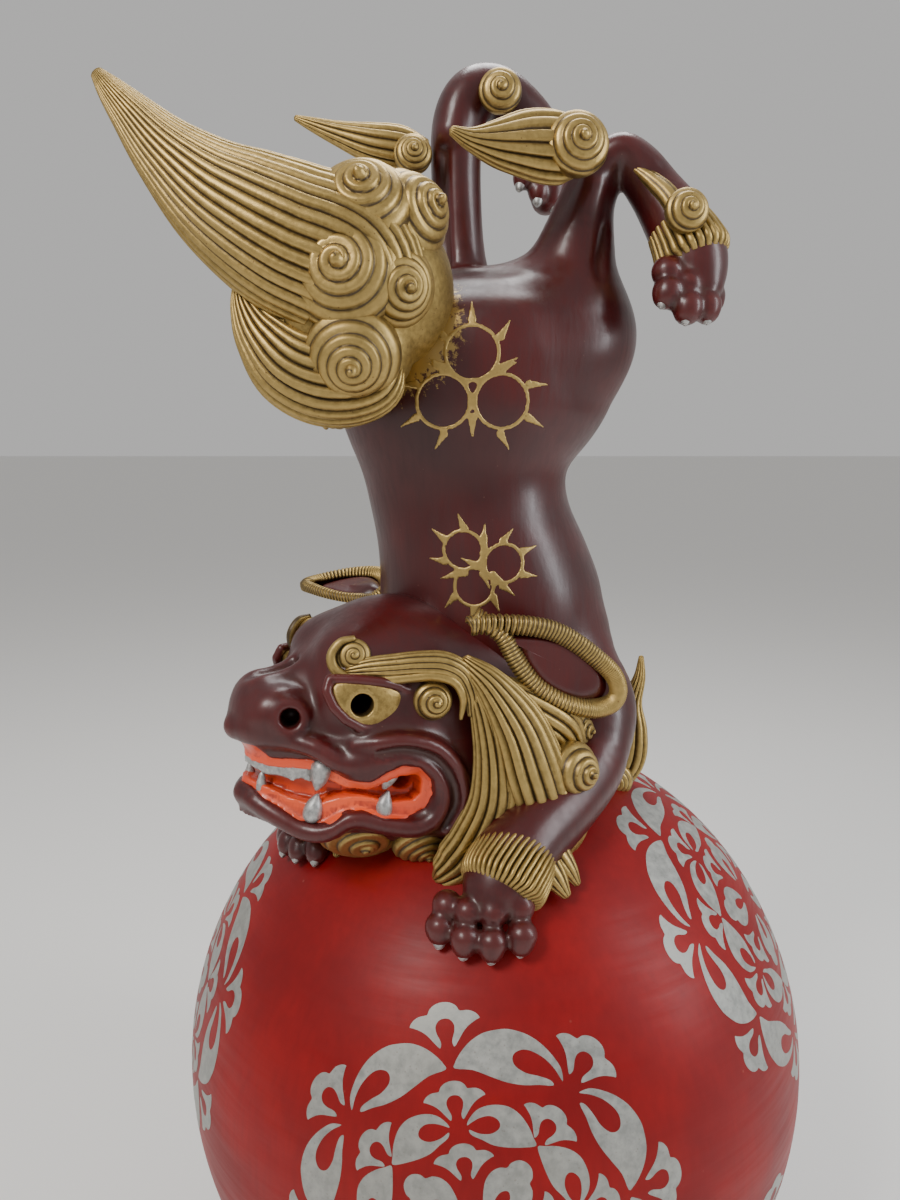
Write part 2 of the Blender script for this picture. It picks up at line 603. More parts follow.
def pebble(centre, radii, turn=(0, 0, 0)):
    """A smooth egg, turned by degrees about x, then y, then z."""
    cx, cy, cz = centre
    rx, ry, rz = radii
    a, b, c = (math.radians(v) for v in turn)
    spin = (np.array([[math.cos(c), -math.sin(c), 0], [math.sin(c), math.cos(c), 0], [0, 0, 1]])
            @ np.array([[math.cos(b), 0, math.sin(b)], [0, 1, 0], [-math.sin(b), 0, math.cos(b)]])
            @ np.array([[1, 0, 0], [0, math.cos(a), -math.sin(a)], [0, math.sin(a), math.cos(a)]]))

    def depth(x, y, z):
        x, y, z = x - cx, y - cy, z - cz
        p = spin[0, 0] * x + spin[1, 0] * y + spin[2, 0] * z
        q = spin[0, 1] * x + spin[1, 1] * y + spin[2, 1] * z
        r = spin[0, 2] * x + spin[1, 2] * y + spin[2, 2] * z
        k0 = np.sqrt((p / rx) ** 2 + (q / ry) ** 2 + (r / rz) ** 2)
        k1 = np.sqrt((p / rx ** 2) ** 2 + (q / ry ** 2) ** 2 + (r / rz ** 2) ** 2)
        return k0 * (k0 - 1) / np.maximum(k1, 1e-6)
    reach = max(radii) if any(turn) else np.array(radii)
    return depth, np.array(centre, float) - reach, np.array(centre, float) + reach


trunk_levels = flow([
    (313, 4, -4, 22, 20), (320, 3, -4, 33, 31), (332, 1, -4, 43, 40), (345, 0, -4, 49, 45),
    (362, -1, -5, 52, 48), (380, -2, -6, 53, 49), (398, -3, -7, 51, 48), (416, -7, -8, 48, 46),
    (434, -12.7, -9, 45.5, 43), (448, -15, -10, 46.5, 43), (462, -14, -10, 53, 46),
    (475, -12.5, -10, 58.8, 49), (488, -11, -10.5, 60.5, 50), (498, -9.5, -11, 60, 50),
    (507, -8.5, -11, 57.5, 48.5), (515, -7, -11, 53, 45.5), (522, -5.5, -10.5, 45, 39),
    (528, -4, -10, 34, 31), (532, -3, -9, 20, 19)], 4)


def trunk_depth(x, y, z):
    """The trunk: an upright stack of ovals."""
    cx, cy, hx, hy = (np.interp(z, trunk_levels[:, 0], trunk_levels[:, i]) for i in range(1, 5))
    k0 = np.sqrt(((x - cx) / hx) ** 2 + ((y - cy) / hy) ** 2)
    k1 = np.sqrt(((x - cx) / hx ** 2) ** 2 + ((y - cy) / hy ** 2) ** 2)
    round_it = k0 * (k0 - 1) / np.maximum(k1, 1e-4)
    low, high = trunk_levels[0, 0], trunk_levels[-1, 0]
    return np.maximum(np.maximum(round_it, low - z), z - high)


hind_limbs = {
    "left": [(16, -12, 486, 33), (25, -17, 512, 27), (31, -20, 536, 18.5), (35.5, -22, 558, 12.5),
             (41, -24, 571, 10.8), (48.5, -25.5, 577.5, 10.2), (56, -27.5, 573.5, 10.2), (64, -30, 563, 11),
             (72, -34, 550, 13), (78, -38, 537, 14), (80, -42, 526, 10.5), (79, -44, 520, 7)],
    "right": [(-10, 8, 488, 31), (-13, 15, 512, 22), (-16, 20, 540, 12.5), (-18.5, 22, 575, 11.5),
              (-18, 22, 603, 12), (-12, 23, 617, 12), (-1, 26, 620, 12), (9, 29, 614, 12.5),
              (18, 32, 604, 13), (24, 33, 592, 12.5), (25, 31, 581, 10), (24, 29, 574, 7)],
}
fore_limbs = {
    "left": [(28, -16, 366, 25), (40, -29, 344, 20), (40, -46, 324, 16.5), (27, -65, 312, 15.5),
             (12, -80, 304, 16.5), (3, -90, 297, 16.5), (-2, -97, 290.5, 14.5), (-5, -101, 286, 10.5),
             (-7, -103.5, 283.5, 6)],
    "right": [(-22, 16, 366, 24), (-36, 25, 348, 21), (-50, 26, 331, 18), (-61, 16, 317, 16),
              (-68, 2, 307, 15), (-73, -12, 301, 14), (-77, -24, 297, 13), (-81, -32, 293, 12),
              (-84, -37, 290, 9), (-86, -40, 288, 6)],
}
# Each toe: the joint behind, the knuckle in front, the tip of its claw.
toes = {
    "left_fore": [((-22.7, -103, 284), (-25.4, -107, 277), (-26, -109.5, 268.5)),
                  ((-14.5, -107, 283.5), (-15.8, -112, 275.2), (-17, -115, 264.5)),
                  ((-4.9, -108.5, 284), (-5.5, -113.8, 274.5), (-6.4, -117, 263)),
                  ((5.5, -106, 285), (6, -111.9, 276.4), (4.3, -116.5, 264))],
    "right_fore": [((-76, -47, 291), (-80, -54, 285), (-81, -63, 277)),
                   ((-83, -42, 291), (-88, -49, 284), (-91, -58, 275)),
                   ((-88, -35, 290), (-94, -41, 283), (-99, -47, 274)),
                   ((-90, -27, 290), (-96, -32, 283), (-102, -34, 274))],
    "left_hind": [((86, -36, 529), (86, -38, 521), (88, -40, 511)),
                  ((82, -45, 525), (82, -48, 516), (82, -52, 506)),
                  ((74, -48, 524), (74, -51, 515), (72, -55, 506)),
                  ((66, -47, 529), (66, -50, 521), (62, -54, 513))],
    "right_hind": [((31, 33, 588), (30, 36, 580), (31, 35, 570)),
                   ((28, 27, 584), (27, 28, 576), (27, 25, 566)),
                   ((21, 24, 585), (20, 24, 577), (19, 20, 568)),
                   ((14, 25, 590), (13, 24, 583), (10, 20, 575))],
}

body_low, body_high = (-106, -126, 262), (102, 66, 640)
body = Clay(body_low, body_high, 1.45)
body.press((trunk_depth, (-72, -62, 311), (54, 41, 534)), 1)
for side in ("left", "right"):
    body.press(bones(hind_limbs[side]), 9)
    body.press(bones(fore_limbs[side]), 9)
# The haunches, with a hollow down each, then the calves, the shins and the shoulders.
body.press(pebble((-4, -8, 510), (42, 37, 27)), 8)
body.press(bones([(-22, 10, 534, 1.5), (-24, 13, 552, 2.2), (-25, 13, 575, 2.0), (-24, 13, 592, 1.2)], 3),
           5, away=True)
body.press(bones([(36, -42, 512, 1.5), (40, -38, 530, 2.2), (42, -33, 548, 1.6)], 3), 5, away=True)
body.press(pebble((24, -16, 506), (36, 33, 34)), 8)
body.press(pebble((-14, 10, 506), (34, 32, 30)), 8)
body.press(bones([(27, -24, 530, 13), (33, -31, 552, 8), (37, -33, 566, 6)]), 4)
body.press(bones([(40, -31, 574, 6.5), (49, -33, 579.5, 6), (59, -33, 572, 6)]), 3)
body.press(bones([(60, -22, 566, 5), (70, -27, 553, 7), (79, -33, 538, 7)]), 4)
body.press(bones([(-20, 16, 600, 8), (-15, 18, 616, 7.5), (-3, 21, 620, 7)]), 3)
body.press(pebble((40, -28, 340), (22, 24, 26)), 8)
body.press(pebble((-38, 24, 344), (22, 22, 26)), 8)
for paw, four in toes.items():
    size = {"left_fore": 6.0, "right_fore": 5.6, "left_hind": 6.4, "right_hind": 5.2}[paw]
    for back, knuckle, claw in four:
        body.press(pebble(back, (size, size, size)), 1.4)
        body.press(pebble(knuckle, (size, size, size)), 1.0)
        pad = [k + 0.25 * (c - k) for k, c in zip(knuckle, claw)]
        body.press(pebble(pad, (size * 0.82,) * 3), 1.0)
# The paws stand on the ball, so what is inside its skin goes.
cx, cy, cz = ball_centre * 1000
ball_skin, ball_top = 149.9, 316
body.press((lambda x, y, z: np.sqrt((x - cx) ** 2 + (y - cy) ** 2 + (z - cz) ** 2) - ball_skin,
            body_low, (*body_high[:2], ball_top)), 0.6, away=True)


def clay_mesh(name, clay, to_row=None):
    """The skin of a clay block as a mesh in metres."""
    points, quads, hollow = clay.shaped()
    if to_row is not None:
        points = to_row(points)
    mesh = bpy.data.meshes.new(name)
    mesh.vertices.add(len(points))
    mesh.vertices.foreach_set("co", (points / 1000).astype(np.float32).ravel())
    mesh.loops.add(quads.size)
    mesh.loops.foreach_set("vertex_index", quads.astype(np.int32).ravel())
    mesh.polygons.add(len(quads))
    mesh.polygons.foreach_set("loop_start", np.arange(0, quads.size, 4, dtype=np.int32))
    mesh.polygons.foreach_set("loop_total", np.full(len(quads), 4, np.int32))
    mesh.attributes.new("hollow", "FLOAT", "POINT").data.foreach_set("value", hollow.astype(np.float32))
    mesh.update()
    mesh.validate()
    return mesh


lion_red, tree, shader = finish("lion lacquer", (0.06, 0.005, 0.005), 0.38, coat=0.3, coat_rough=0.25,
                                specular=0.4)
marks = placed(tree, brush_marks, Stretch=(70, 70, 10), Fineness=5.0)
dirt = placed(tree, grime, Reach=1.1, Breakup=160.0)
chips = placed(tree, specks, Spacing=130.0, Size=0.05)["Mask"]
coat = laid(tree, marks["Clouds"], (0.042, 0.0036, 0.0038), (0.074, 0.0052, 0.0050), 1, 0.35, 0.65)
coat = laid(tree, marks["Streaks"], coat, (0.030, 0.004, 0.005), 0.4, 0.4, 0.75)
coat = laid(tree, dirt["Mask"], coat, (0.055, 0.028, 0.022), 0.45)
coat = laid(tree, dirt["Edge"], coat, (0.13, 0.018, 0.016), 0.35)
coat = laid(tree, chips, coat, (0.20, 0.10, 0.07), 0.4)
# The gold of the tail runs on to the lacquer round the tail's root, with a ragged brushed edge.
tail_root_spot = (-0.043, -0.052, 0.508)
raggedness = 0.034
spill_full, spill_end = 0.0070, 0.0105
where = node(tree, "ShaderNodeTexCoord").outputs["Object"]
from_root = node(tree, "ShaderNodeVectorMath", {0: where, 1: tail_root_spot}, operation="DISTANCE")
ragged = node(tree, "ShaderNodeTexNoise", {"Vector": where, "Scale": 420.0, "Detail": 5.0,
                                           "Roughness": 0.7})
spill = node(tree, "ShaderNodeMath", {0: ragged.outputs["Fac"], 1: -raggedness,
                                      2: from_root.outputs["Value"]},
             operation="MULTIPLY_ADD").outputs[0]
brushed_gold = span(tree, spill, spill_full, spill_end, 1, 0)
coat = blend_colours(tree, brushed_gold, coat, (0.42, 0.28, 0.09))
worked(tree, shader, coat, marks["Streaks"], (0.30, 0.46), (0.15, 0.0006))
tree.links.new(span(tree, brushed_gold, 0, 1, 0, 0.85), shader.inputs["Metallic"])

limb_blocks = [f"{side}_{part}" for side in ("left", "right")
               for part in ("foreleg", "fore_paw", "hind_leg", "hind_foot")]
piece("lion_body", clay_mesh("lion_body", body), lion_red, "lion_lacquer", "chest_block", "rump_block",
      *limb_blocks)

# ---------------------------------------------------------------- head
# The head is a separate block, carved with a blunt nose, heavy brows and an open mouth, then
# pinned to the chest, turned to the figure's left. It has the same dark red lacquer.
head_spot = np.array((-25.0, -32.0, 340.0))
head_axes = np.array(((-0.8781, -0.4669, 0.1045), (0.4695, -0.8829, 0.0), (0.0923, 0.0491, 0.9945)))


def on_head(points):
    """Points ahead, to the left and above the middle of the head, as points of the statue."""
    return np.asarray(points, float) @ head_axes + head_spot


def slab(outline, grow=0.0):
    """A shape of endless width whose side view is a closed outline."""
    outline = np.array(outline, float)

    def depth(x, y, z):
        px, pz = x[:, 0, 0][:, None], z[0, 0, :][None, :]
        best = np.full((px.shape[0], pz.shape[1]), 1e6)
        for (ax, az), (bx, bz) in zip(outline, np.roll(outline, -1, axis=0)):
            dx, dz = bx - ax, bz - az
            t = np.clip(((px - ax) * dx + (pz - az) * dz) / (dx * dx + dz * dz + 1e-9), 0, 1)
            best = np.minimum(best, (px - ax - t * dx) ** 2 + (pz - az - t * dz) ** 2)
        signed = np.sqrt(best) * np.where(inside(outline, px + 0 * pz, pz + 0 * px), -1, 1)
        return (signed - grow)[:, None, :] + 0 * y
    return depth


mouth_outline = [(90.4, -6.7), (83.6, -12.1), (76.7, -10.9), (70.7, -10), (63.9, -13.5), (58.5, -16),
                 (51.3, -15.6), (46.3, -11.2), (39.9, -8.1), (33, -9), (27.1, -14.5), (25.5, -20.7),
                 (27.3, -26.9), (34.8, -31.1), (44.5, -30.6), (52.1, -27.9), (58.3, -28.8), (63.9, -34),
                 (68.7, -35.4), (74.2, -34.7), (80, -30.9), (85.3, -28.5), (88.1, -25.4), (110, -22),
                 (110, -8)]
mouth_opening = [(110, -13.5), (100, -13), (84, -16), (76, -15), (70, -14.5), (64, -17.5), (58, -20),
                 (51, -19.5), (46, -15.5), (40, -12.5), (34, -13.5), (30, -17), (29.5, -21), (32, -24),
                 (40, -25), (52, -22.8), (60, -24), (68, -28), (76, -27), (84, -24), (100, -20.5),
                 (110, -20)]
lip_run = [(94.5, 0, -1.8, 4.4), (92.9, 4.5, -1.8, 4.3), (88, 12.5, -1.6, 4.2), (80.6, 18.7, -1.9, 4.2),
           (70.4, 27.8, -3.8, 4.2), (61.8, 33.1, -8.7, 4.2), (53.7, 36.4, -8.6, 4.2),
           (46.8, 39.2, -5.2, 4.2), (39.3, 41.2, -4, 4.2), (31.3, 43.2, -6.4, 4.2),
           (23.8, 44.9, -12.4, 4.2), (20.8, 45, -20.8, 4.3), (23, 44.6, -30.1, 4.2),
           (30.5, 42.7, -34.8, 4.2), (42.3, 39.7, -33.7, 4.0), (51.7, 36.4, -31.5, 4.0),
           (57.9, 33.8, -32.9, 4.0), (64.4, 30.2, -38.2, 4.2), (71.5, 24.1, -38.8, 4.2),
           (79.7, 17.1, -35, 4.2), (86.6, 8.8, -31.2, 4.2), (89, 0, -30, 4.2)]
eye_outline = flow([(65.6, 23.0), (64.8, 14), (54.9, 6.8), (42.2, 6.7), (33.5, 12.9), (38, 19.1),
                    (47.9, 22.8)], 4, closed=True)
eye_pebble = ((48, 22, 14), (27, 17, 21))

head_block = ((-46, -66, -54), (102, 66, 62), 0.95)      # low corner, high corner, grid
skull = Clay(*head_block)


def both(shape, *sizes, soft=3.0, away=False):
    """Presses a shape and its mirror image."""
    first, *rest = sizes
    skull.press(shape(first, *rest), soft, away)
    if np.ndim(first) == 1:
        mirrored = (first[0], -first[1], first[2])
    else:
        mirrored = [(p[0], -p[1], *p[2:]) for p in first]
    skull.press(shape(mirrored, *rest), soft, away)


skull.press(pebble((20, 0, 8), (45, 43, 43)), 4)
skull.press(pebble((-6, 0, 4), (34, 42, 42)), 10)
skull.press(pebble((30, 0, 22), (37, 32, 31)), 8)
both(pebble, (52, 14, 28), (16, 14, 13), soft=9)
both(pebble, (48, 19, 14), (22, 18, 16), soft=6)
skull.press(bones([(54, 0, 14, 17), (68, 0, 11, 15.5), (80, 0, 8, 14)], 1), 8)
skull.press(pebble((86, 0, 8.5), (10, 15, 11)), 5)
both(pebble, (80, 14.5, 7), (12.5, 8, 10.5), soft=5)
both(pebble, (38, 31, -8), (24, 14, 18), soft=8)
both(bones, [(30, 26, -2, 16), (58, 16, -1, 14.5), (84, 5, 0, 12)], 1, soft=6)
both(bones, [(22, 28, -33, 13), (48, 21, -35, 12), (70, 11, -35, 10)], 1, soft=6)
skull.press(bones([(20, 0, -31, 17), (66, 0, -34, 11.5)], 1), 6)
both(pebble, (12, 32, -20), (20, 16, 26), soft=8)
both(bones, lip_run, 3, soft=3)
# Folds: round the eye, down the cheek behind the mouth, over the nose, under the brow
rim = [(f, 22 + 17 * math.sqrt(max(0.02, 1 - ((f - 48) / 27) ** 2 - ((u - 14) / 21) ** 2)) - 0.3, u, 2.1)
       for f, u in (np.array((49.5, 15)) + (eye_outline[::2] - (49.5, 15)) * 1.13)]
both(bones, rim + rim[:1], 1, soft=1.5)
both(bones, [(57, 36, -1, 1.2), (50, 41.5, 1.0, 2.4), (40, 44.8, 2.0, 3.2), (27, 47, -1, 3.4),
             (17, 47.5, -11, 3.4), (12.5, 47, -24, 3.2), (17, 45, -36, 2.8)], 3, soft=4)
both(bones, [(50, 43.5, -3.4, 1.0), (40.2, 46.8, -1.4, 1.6), (28, 48.5, -5, 1.8), (20.0, 49, -13.6, 1.8),
             (16.8, 48.6, -24.1, 1.8), (19.5, 47, -33, 1.5)], 3, soft=2.5, away=True)
nostril, nostril_way = np.array((79.5, 21.0, 6.6)), np.array((0.36, 0.92, 0.12))
lift_way = np.cross(nostril_way, (1, 0, 0)) / np.linalg.norm(np.cross(nostril_way, (1, 0, 0)))
ring_run = [(*(nostril + 5.6 * (math.cos(a) * np.cross(lift_way, nostril_way) + math.sin(a) * lift_way)),
             2.0)
            for a in np.linspace(0, 2 * math.pi, 17)]
both(bones, ring_run, 1, soft=3)
both(bones, [(*(nostril + 5 * nostril_way), 4.0), (*(nostril - 9 * nostril_way), 3.4)], 1, soft=1.2,
     away=True)
skull.press(bones([(95, 0, 22, 1.5), (86, 0, 20.5, 2.0), (72, 0, 23.5, 1.8)], 3), 5, away=True)
# The jaws are one solid front before the mouth is cut.
jaw_plan = [(91, 0), (89.5, 6), (85, 12.5), (79, 18), (69, 26.5), (60, 32), (52, 35.2), (45, 38), (38, 40),
            (30, 42), (20, 43), (0, 43)]
jaw_plan += [(f, -l) for f, l in jaw_plan[:0:-1]]
plan_depth = slab([(f, l) for f, l in jaw_plan])


def jaw_front(x, y, z):
    """The plan of the jaws, from the chin up to the lip."""
    flat = plan_depth(x, np.zeros((1, 1, 1)), np.ascontiguousarray(np.swapaxes(y, 1, 2)))
    return np.maximum(np.maximum(np.swapaxes(flat, 1, 2) + 0 * z, -38 - z), z + 1)


skull.press((jaw_front, (-4, -45, -40), (93, 45, 1)), 3)
hull = skull.skin.copy()
for way in (-1, 1):
    skull.press(bones([(58.0, 44 * way, 15.3, 4.6), (50, 14 * way, 14.0, 4.4)], 1), 0.8, away=True)
skull.press((slab(mouth_outline), (20, -66, -40), (102, 66, 0)), 0.8, away=True)
# The block is hollowed out behind the mouth, so that it does not crack.
brain_hollow = (lambda x, y, z: np.sqrt((x - 8) ** 2 + y ** 2 + (z - 10) ** 2) - 24, (-16, -24, -14),
                (32, 24, 34))
skull.press(brain_hollow, 1, away=True)

piece("lion_head", clay_mesh("lion_head", skull, on_head), lion_red, "lion_lacquer", "head_block")

# ---------------------------------------------------------------- mouth and teeth
# The open mouth is cut as a deep channel and painted orange, with silvered plates of teeth
# standing in it and a tusk at each corner.


def beside(skin):
    """A clay block on the head's grid that starts from a ready skin."""
    made = Clay(*head_block)
    made.skin = skin.astype(np.float32)
    return made


x, y, z = np.ix_(*skull.ticks)
set_in, mouth_depth = 0.7, 7.5     # mm the lining keeps below the lips, and the wall it leaves inside
channel = np.maximum(hull + set_in, slab(mouth_outline, set_in)(x, y, z))
opening = np.maximum(slab(mouth_opening)(x, y, z), -(hull + mouth_depth))
lining = beside(np.maximum(channel, -opening))
for way in (-1, 1):
    lining.press(bones([(34.5, 48 * way, -17, 4.6), (34.5, 0, -17, 4.6)], 1), 0.8, away=True)
lining.press(brain_hollow, 1, away=True)

mouth_orange, tree, shader = finish("mouth lacquer", (0.85, 0.09, 0.02), 0.4, coat=0.2)
marks = placed(tree, brush_marks, Stretch=(60, 60, 60), Fineness=5.0)
dirt = placed(tree, grime, Reach=1.0, Breakup=240.0)
paint = laid(tree, marks["Clouds"], (0.70, 0.060, 0.016), (0.88, 0.105, 0.026), 1, 0.35, 0.65)
paint = laid(tree, dirt["Mask"], paint, (0.26, 0.018, 0.010), 0.7)
worked(tree, shader, paint, marks["Streaks"], (0.32, 0.5))
piece("mouth_lining", clay_mesh("mouth_lining", lining, on_head), mouth_orange, "mouth_lacquer",
      "mouth_lining")

upper_plate = [(110, -8.5), (96, -8.5), (84, -12.8), (77, -11.8), (68, -11), (67, -18), (70, -19.4),
               (73, -18.6), (76, -20), (80, -18.8), (84, -19.6), (90, -17), (96, -17.5), (110, -15)]
silvering, tree, shader = finish("silvering", (0.40, 0.40, 0.39), 0.42, metal=0.6)
marks = placed(tree, brush_marks, Stretch=(90, 90, 90), Fineness=6.0)
dirt = placed(tree, grime, Reach=1.0, Breakup=300.0)
bright = laid(tree, marks["Streaks"], (0.27, 0.27, 0.27), (0.55, 0.55, 0.53), 1, 0.3, 0.7)
bright = laid(tree, dirt["Mask"], bright, (0.09, 0.07, 0.06), 0.7)
worked(tree, shader, bright, marks["Streaks"], (0.36, 0.55))

teeth_front, teeth_back = 1.0, 5.0     # mm below the skin of the closed jaws
upper = beside(np.maximum(np.maximum(slab(upper_plate)(x, y, z), hull + teeth_front), -(hull + teeth_back)))
lower = beside(np.full_like(hull, 30.0))
for way in (-1, 1):
    for block, tusks in ((upper, [[(67, 27, -13, 4.0), (67.5, 27, -17, 3.2), (68.5, 26.5, -22, 0.7)],
                                  [(42.5, 39.5, -11, 3.8), (43.5, 39.3, -14.5, 3.1),
                                   (45, 38.8, -19.2, 0.6)]]),
                         (lower, [[(69, 25.5, -32, 3.9), (68.5, 25.7, -29, 3.5), (67.5, 26.0, -24.2, 0.9)],
                                  [(43, 36.5, -28.5, 3.7), (43, 36.8, -26, 3.2), (42, 37, -20.8, 0.8)],
                                  [(84.5, 8, -28, 2.6), (85, 8, -25, 2.4), (85, 8, -19.5, 1.0)]])):
        for tusk in tusks:
            block.press(bones([(f, l * way, u, r) for f, l, u, r in tusk], 4), 1.0)
for name, block in (("upper_teeth", upper), ("lower_teeth", lower)):
    piece(name.replace("teeth", "tusks"), clay_mesh(name, block, on_head), silvering, "silvering", name)

# ---------------------------------------------------------------- eyes
# Bulging almond eyes, carved from thin blocks with a domed front and gilded. Each is let into its
# socket, proud of the face, and has a drilled pupil that goes on into the head.

gilding, tree, shader = finish("gilding", (0.50, 0.35, 0.15), 0.42, metal=0.85)
marks = placed(tree, brush_marks, Stretch=(70, 70, 70), Fineness=7.0)
dirt = placed(tree, grime, Reach=1.25, Breakup=220.0)
chips = placed(tree, specks, Spacing=260.0, Size=0.10)["Mask"]
gold = laid(tree, marks["Streaks"], (0.25, 0.165, 0.050), (0.40, 0.275, 0.090), 1, 0.35, 0.65)
gold = laid(tree, marks["Clouds"], gold, (0.20, 0.150, 0.055), 0.5, 0.42, 0.72)
gold = laid(tree, dirt["Edge"], gold, (0.60, 0.42, 0.15), 0.5)
gold = laid(tree, dirt["Mask"], gold, (0.045, 0.026, 0.012), 0.92)
gold = laid(tree, chips, gold, (0.09, 0.035, 0.02), 0.6)
worked(tree, shader, gold, marks["Clouds"], (0.36, 0.52))
raise_marks(tree, shader, marks["Streaks"], 0.3, 0.0004)
tree.links.new(span(tree, dirt["Mask"], 0, 1, 0.85, 0.35), shader.inputs["Metallic"])

eye_thick, eye_cell = 7, 0.6
for side, way in (("left", 1), ("right", -1)):
    eye = Clay((26, 18 if way > 0 else -46, -2), (74, 46 if way > 0 else -18, 34), eye_cell)
    ex, ey, ez = np.ix_(*eye.ticks)
    (px, py, pz), radii = eye_pebble
    ball = pebble((px, py * way, pz), radii)[0](ex, ey, ez)
    eye.skin = np.maximum(np.maximum(slab(eye_outline)(ex, ey, ez), ball),
                          -(ball + eye_thick)).astype(np.float32)
    eye.press(bones([(58.0, 44 * way, 15.3, 4.6), (53, 24 * way, 14.5, 4.4)], 1), 0.8, away=True)
    piece(f"{side}_almond_eye", clay_mesh(f"{side}_eye", eye, on_head), gilding, "gilding", f"{side}_eye")

# ---------------------------------------------------------------- brows and temple curls
# Carved scrolls: a ribbed band runs back from a small spiral over each eye, and a stepped snail
# curl sits at each temple. Both are gilded over the lacquer.


def lock(stations, face, ribs, depth=0.16, steps=6, fine=9, tip=0.5):
    """Points, faces and hollowness of a ribbed lock that faces one way. Stations: x, y, z, half
    width, half thickness."""
    stations = [s if len(s) > 4 else (*s, s[3] * 0.7) for s in stations]
    run = flow(stations, steps)
    run[:, 3:] = np.maximum(run[:, 3:], 0.3)
    spine = run[:, :3]
    ahead = np.gradient(spine, axis=0)
    ahead /= np.linalg.norm(ahead, axis=1)[:, None]
    across = np.cross(np.asarray(face, float), ahead)
    across /= np.linalg.norm(across, axis=1)[:, None]
    out = np.cross(ahead, across)
    count = ribs * fine
    turn = 2 * np.pi * np.arange(count) / count
    rib = np.abs(np.sin(ribs * turn / 2))
    groove = np.exp(-(rib / 0.42) ** 2)
    swell = 1 - depth * (0.25 * (1 - rib) + 0.75 * groove)
    ring = (across[:, None] * (run[:, 3, None] * np.cos(turn) * swell)[..., None]
            + out[:, None] * (run[:, 4, None] * np.sin(turn) * swell)[..., None])
    points = (spine[:, None] + ring).reshape(-1, 3)
    rows = len(run)
    faces = []
    for i in range(rows - 1):
        for j in range(count):
            k = (j + 1) % count
            faces.append((i * count + j, i * count + k, (i + 1) * count + k, (i + 1) * count + j))
    first, last = len(points), len(points) + 1
    ends = [spine[0] - ahead[0] * run[0, 4] * tip, spine[-1] + ahead[-1] * run[-1, 4] * tip]
    points = np.vstack([points, *ends])
    for j in range(count):
        k = (j + 1) % count
        faces += [(first, k, j), (last, (rows - 1) * count + j, (rows - 1) * count + k)]
    hollow = np.append(np.tile(np.clip(1.9 * groove - 0.75, -0.7, 1), rows), (0, 0))
    return points, faces, hollow


def snail(coils, height=1.0, skirt=0.5, around=60, fine=9):
    """A stepped spiral curl of radius 1 that stands up along Z."""
    rings = int(coils * fine)
    points, hollow, faces = [(0, 0, height * 1.16)], [0.0], []
    out = np.arange(1, rings + 1) / rings
    turn = 2 * np.pi * np.arange(around) / around
    r, a = np.meshgrid(out, turn, indexing="ij")
    phase = (r * coils - a / (2 * np.pi)) % 1
    dome = height * (1 - 0.55 * r - 0.45 * r ** 3)
    steps = (height / coils) * 0.75 * (phase - phase ** 7)
    knob = 0.16 * height * np.sqrt(np.clip(1 - (r * coils / 0.62) ** 2, 0, 1))
    z = dome + steps * np.clip(r * coils * 1.5, 0, 1) + knob
    points += [tuple(p) for p in np.stack([r * np.cos(a), r * np.sin(a), z], -1).reshape(-1, 3)]
    groove = np.minimum(phase, 1 - phase)
    hollow += list(np.clip(1.25 - groove * 12, -0.7, 1).ravel())
    for depth, spread in ((0.35, 1.03), (1.0, 0.98)):
        points += [(spread * math.cos(t), spread * math.sin(t), -skirt * depth) for t in turn]
        hollow += [0.2] * around
    rows = rings + 2
    for j in range(around):
        k = (j + 1) % around
        faces.append((0, 1 + j, 1 + k))
        for low in range(1, 1 + (rows - 1) * around, around):
            high = low + around
            faces.append((low + j, high + j, high + k, low + k))
        faces.append((len(points), 1 + (rows - 1) * around + k, 1 + (rows - 1) * around + j))
    points.append((0, 0, -skirt))
    hollow.append(0)
    return points, faces, hollow


# The tree sets one master curl on every spot of a piece.
curl_setter, given, gives = geometry_tree("curls on their spots", {
    "Curl": ("NodeSocketObject", None), "Finish": ("NodeSocketMaterial", None)})
one = node(curl_setter, "GeometryNodeObjectInfo", {"Object": given["Curl"]}).outputs["Geometry"]
finished(curl_setter, set_on_points(curl_setter, given["Geometry"], one), given["Finish"], gives)


def set_out(name, shape, spots, material=gilding):
    """Copies of one master shape. Each spot: place, way, radius, height."""
    points, faces, hollow = shape
    lender = master(mesh_of(name + " master", np.array(points) * 1000, faces, hollow))
    up = (0.13, 0.21, 0.97)
    mesh = grown(name, spots_mesh(name, [s[0] for s in spots], [s[1] for s in spots], [up] * len(spots),
                                  [(s[2] / 1000, s[2] / 1000, s[3] / 1000) for s in spots]),
                 curl_setter, Curl=lender, Finish=material)
    bpy.data.objects.remove(lender)
    return mesh


def gathered(name, locks, curls=None):
    """Locks and a mesh of curls as one mesh."""
    points, faces = joined([(p, f) for p, f, _ in locks])
    made = bmesh.new()
    made.from_mesh(mesh_of(name, points, faces, np.concatenate([h for _, _, h in locks])))
    if curls is not None:
        made.from_mesh(curls)
    result = bpy.data.meshes.new(name)
    made.to_mesh(result)
    made.free()
    return result


def head_lock(stations, face, *rest, **more):
    """A lock laid out ahead, left and above on the head."""
    placed_at = [(*on_head(s[:3]), *s[3:]) for s in stations]
    return lock(placed_at, np.asarray(face, float) @ head_axes, *rest, **more)


def head_spots(spots, way):
    """Curl spots on one side of the head."""
    return [(on_head((f, l * way, u)), np.array((a, b * way, c)) @ head_axes, r, h)
            for (f, l, u), (a, b, c), r, h in spots]


def sided(stations, way):
    """Stations on the left, or mirrored to the right."""
    return [(s[0], s[1] * way, *s[2:]) for s in stations]


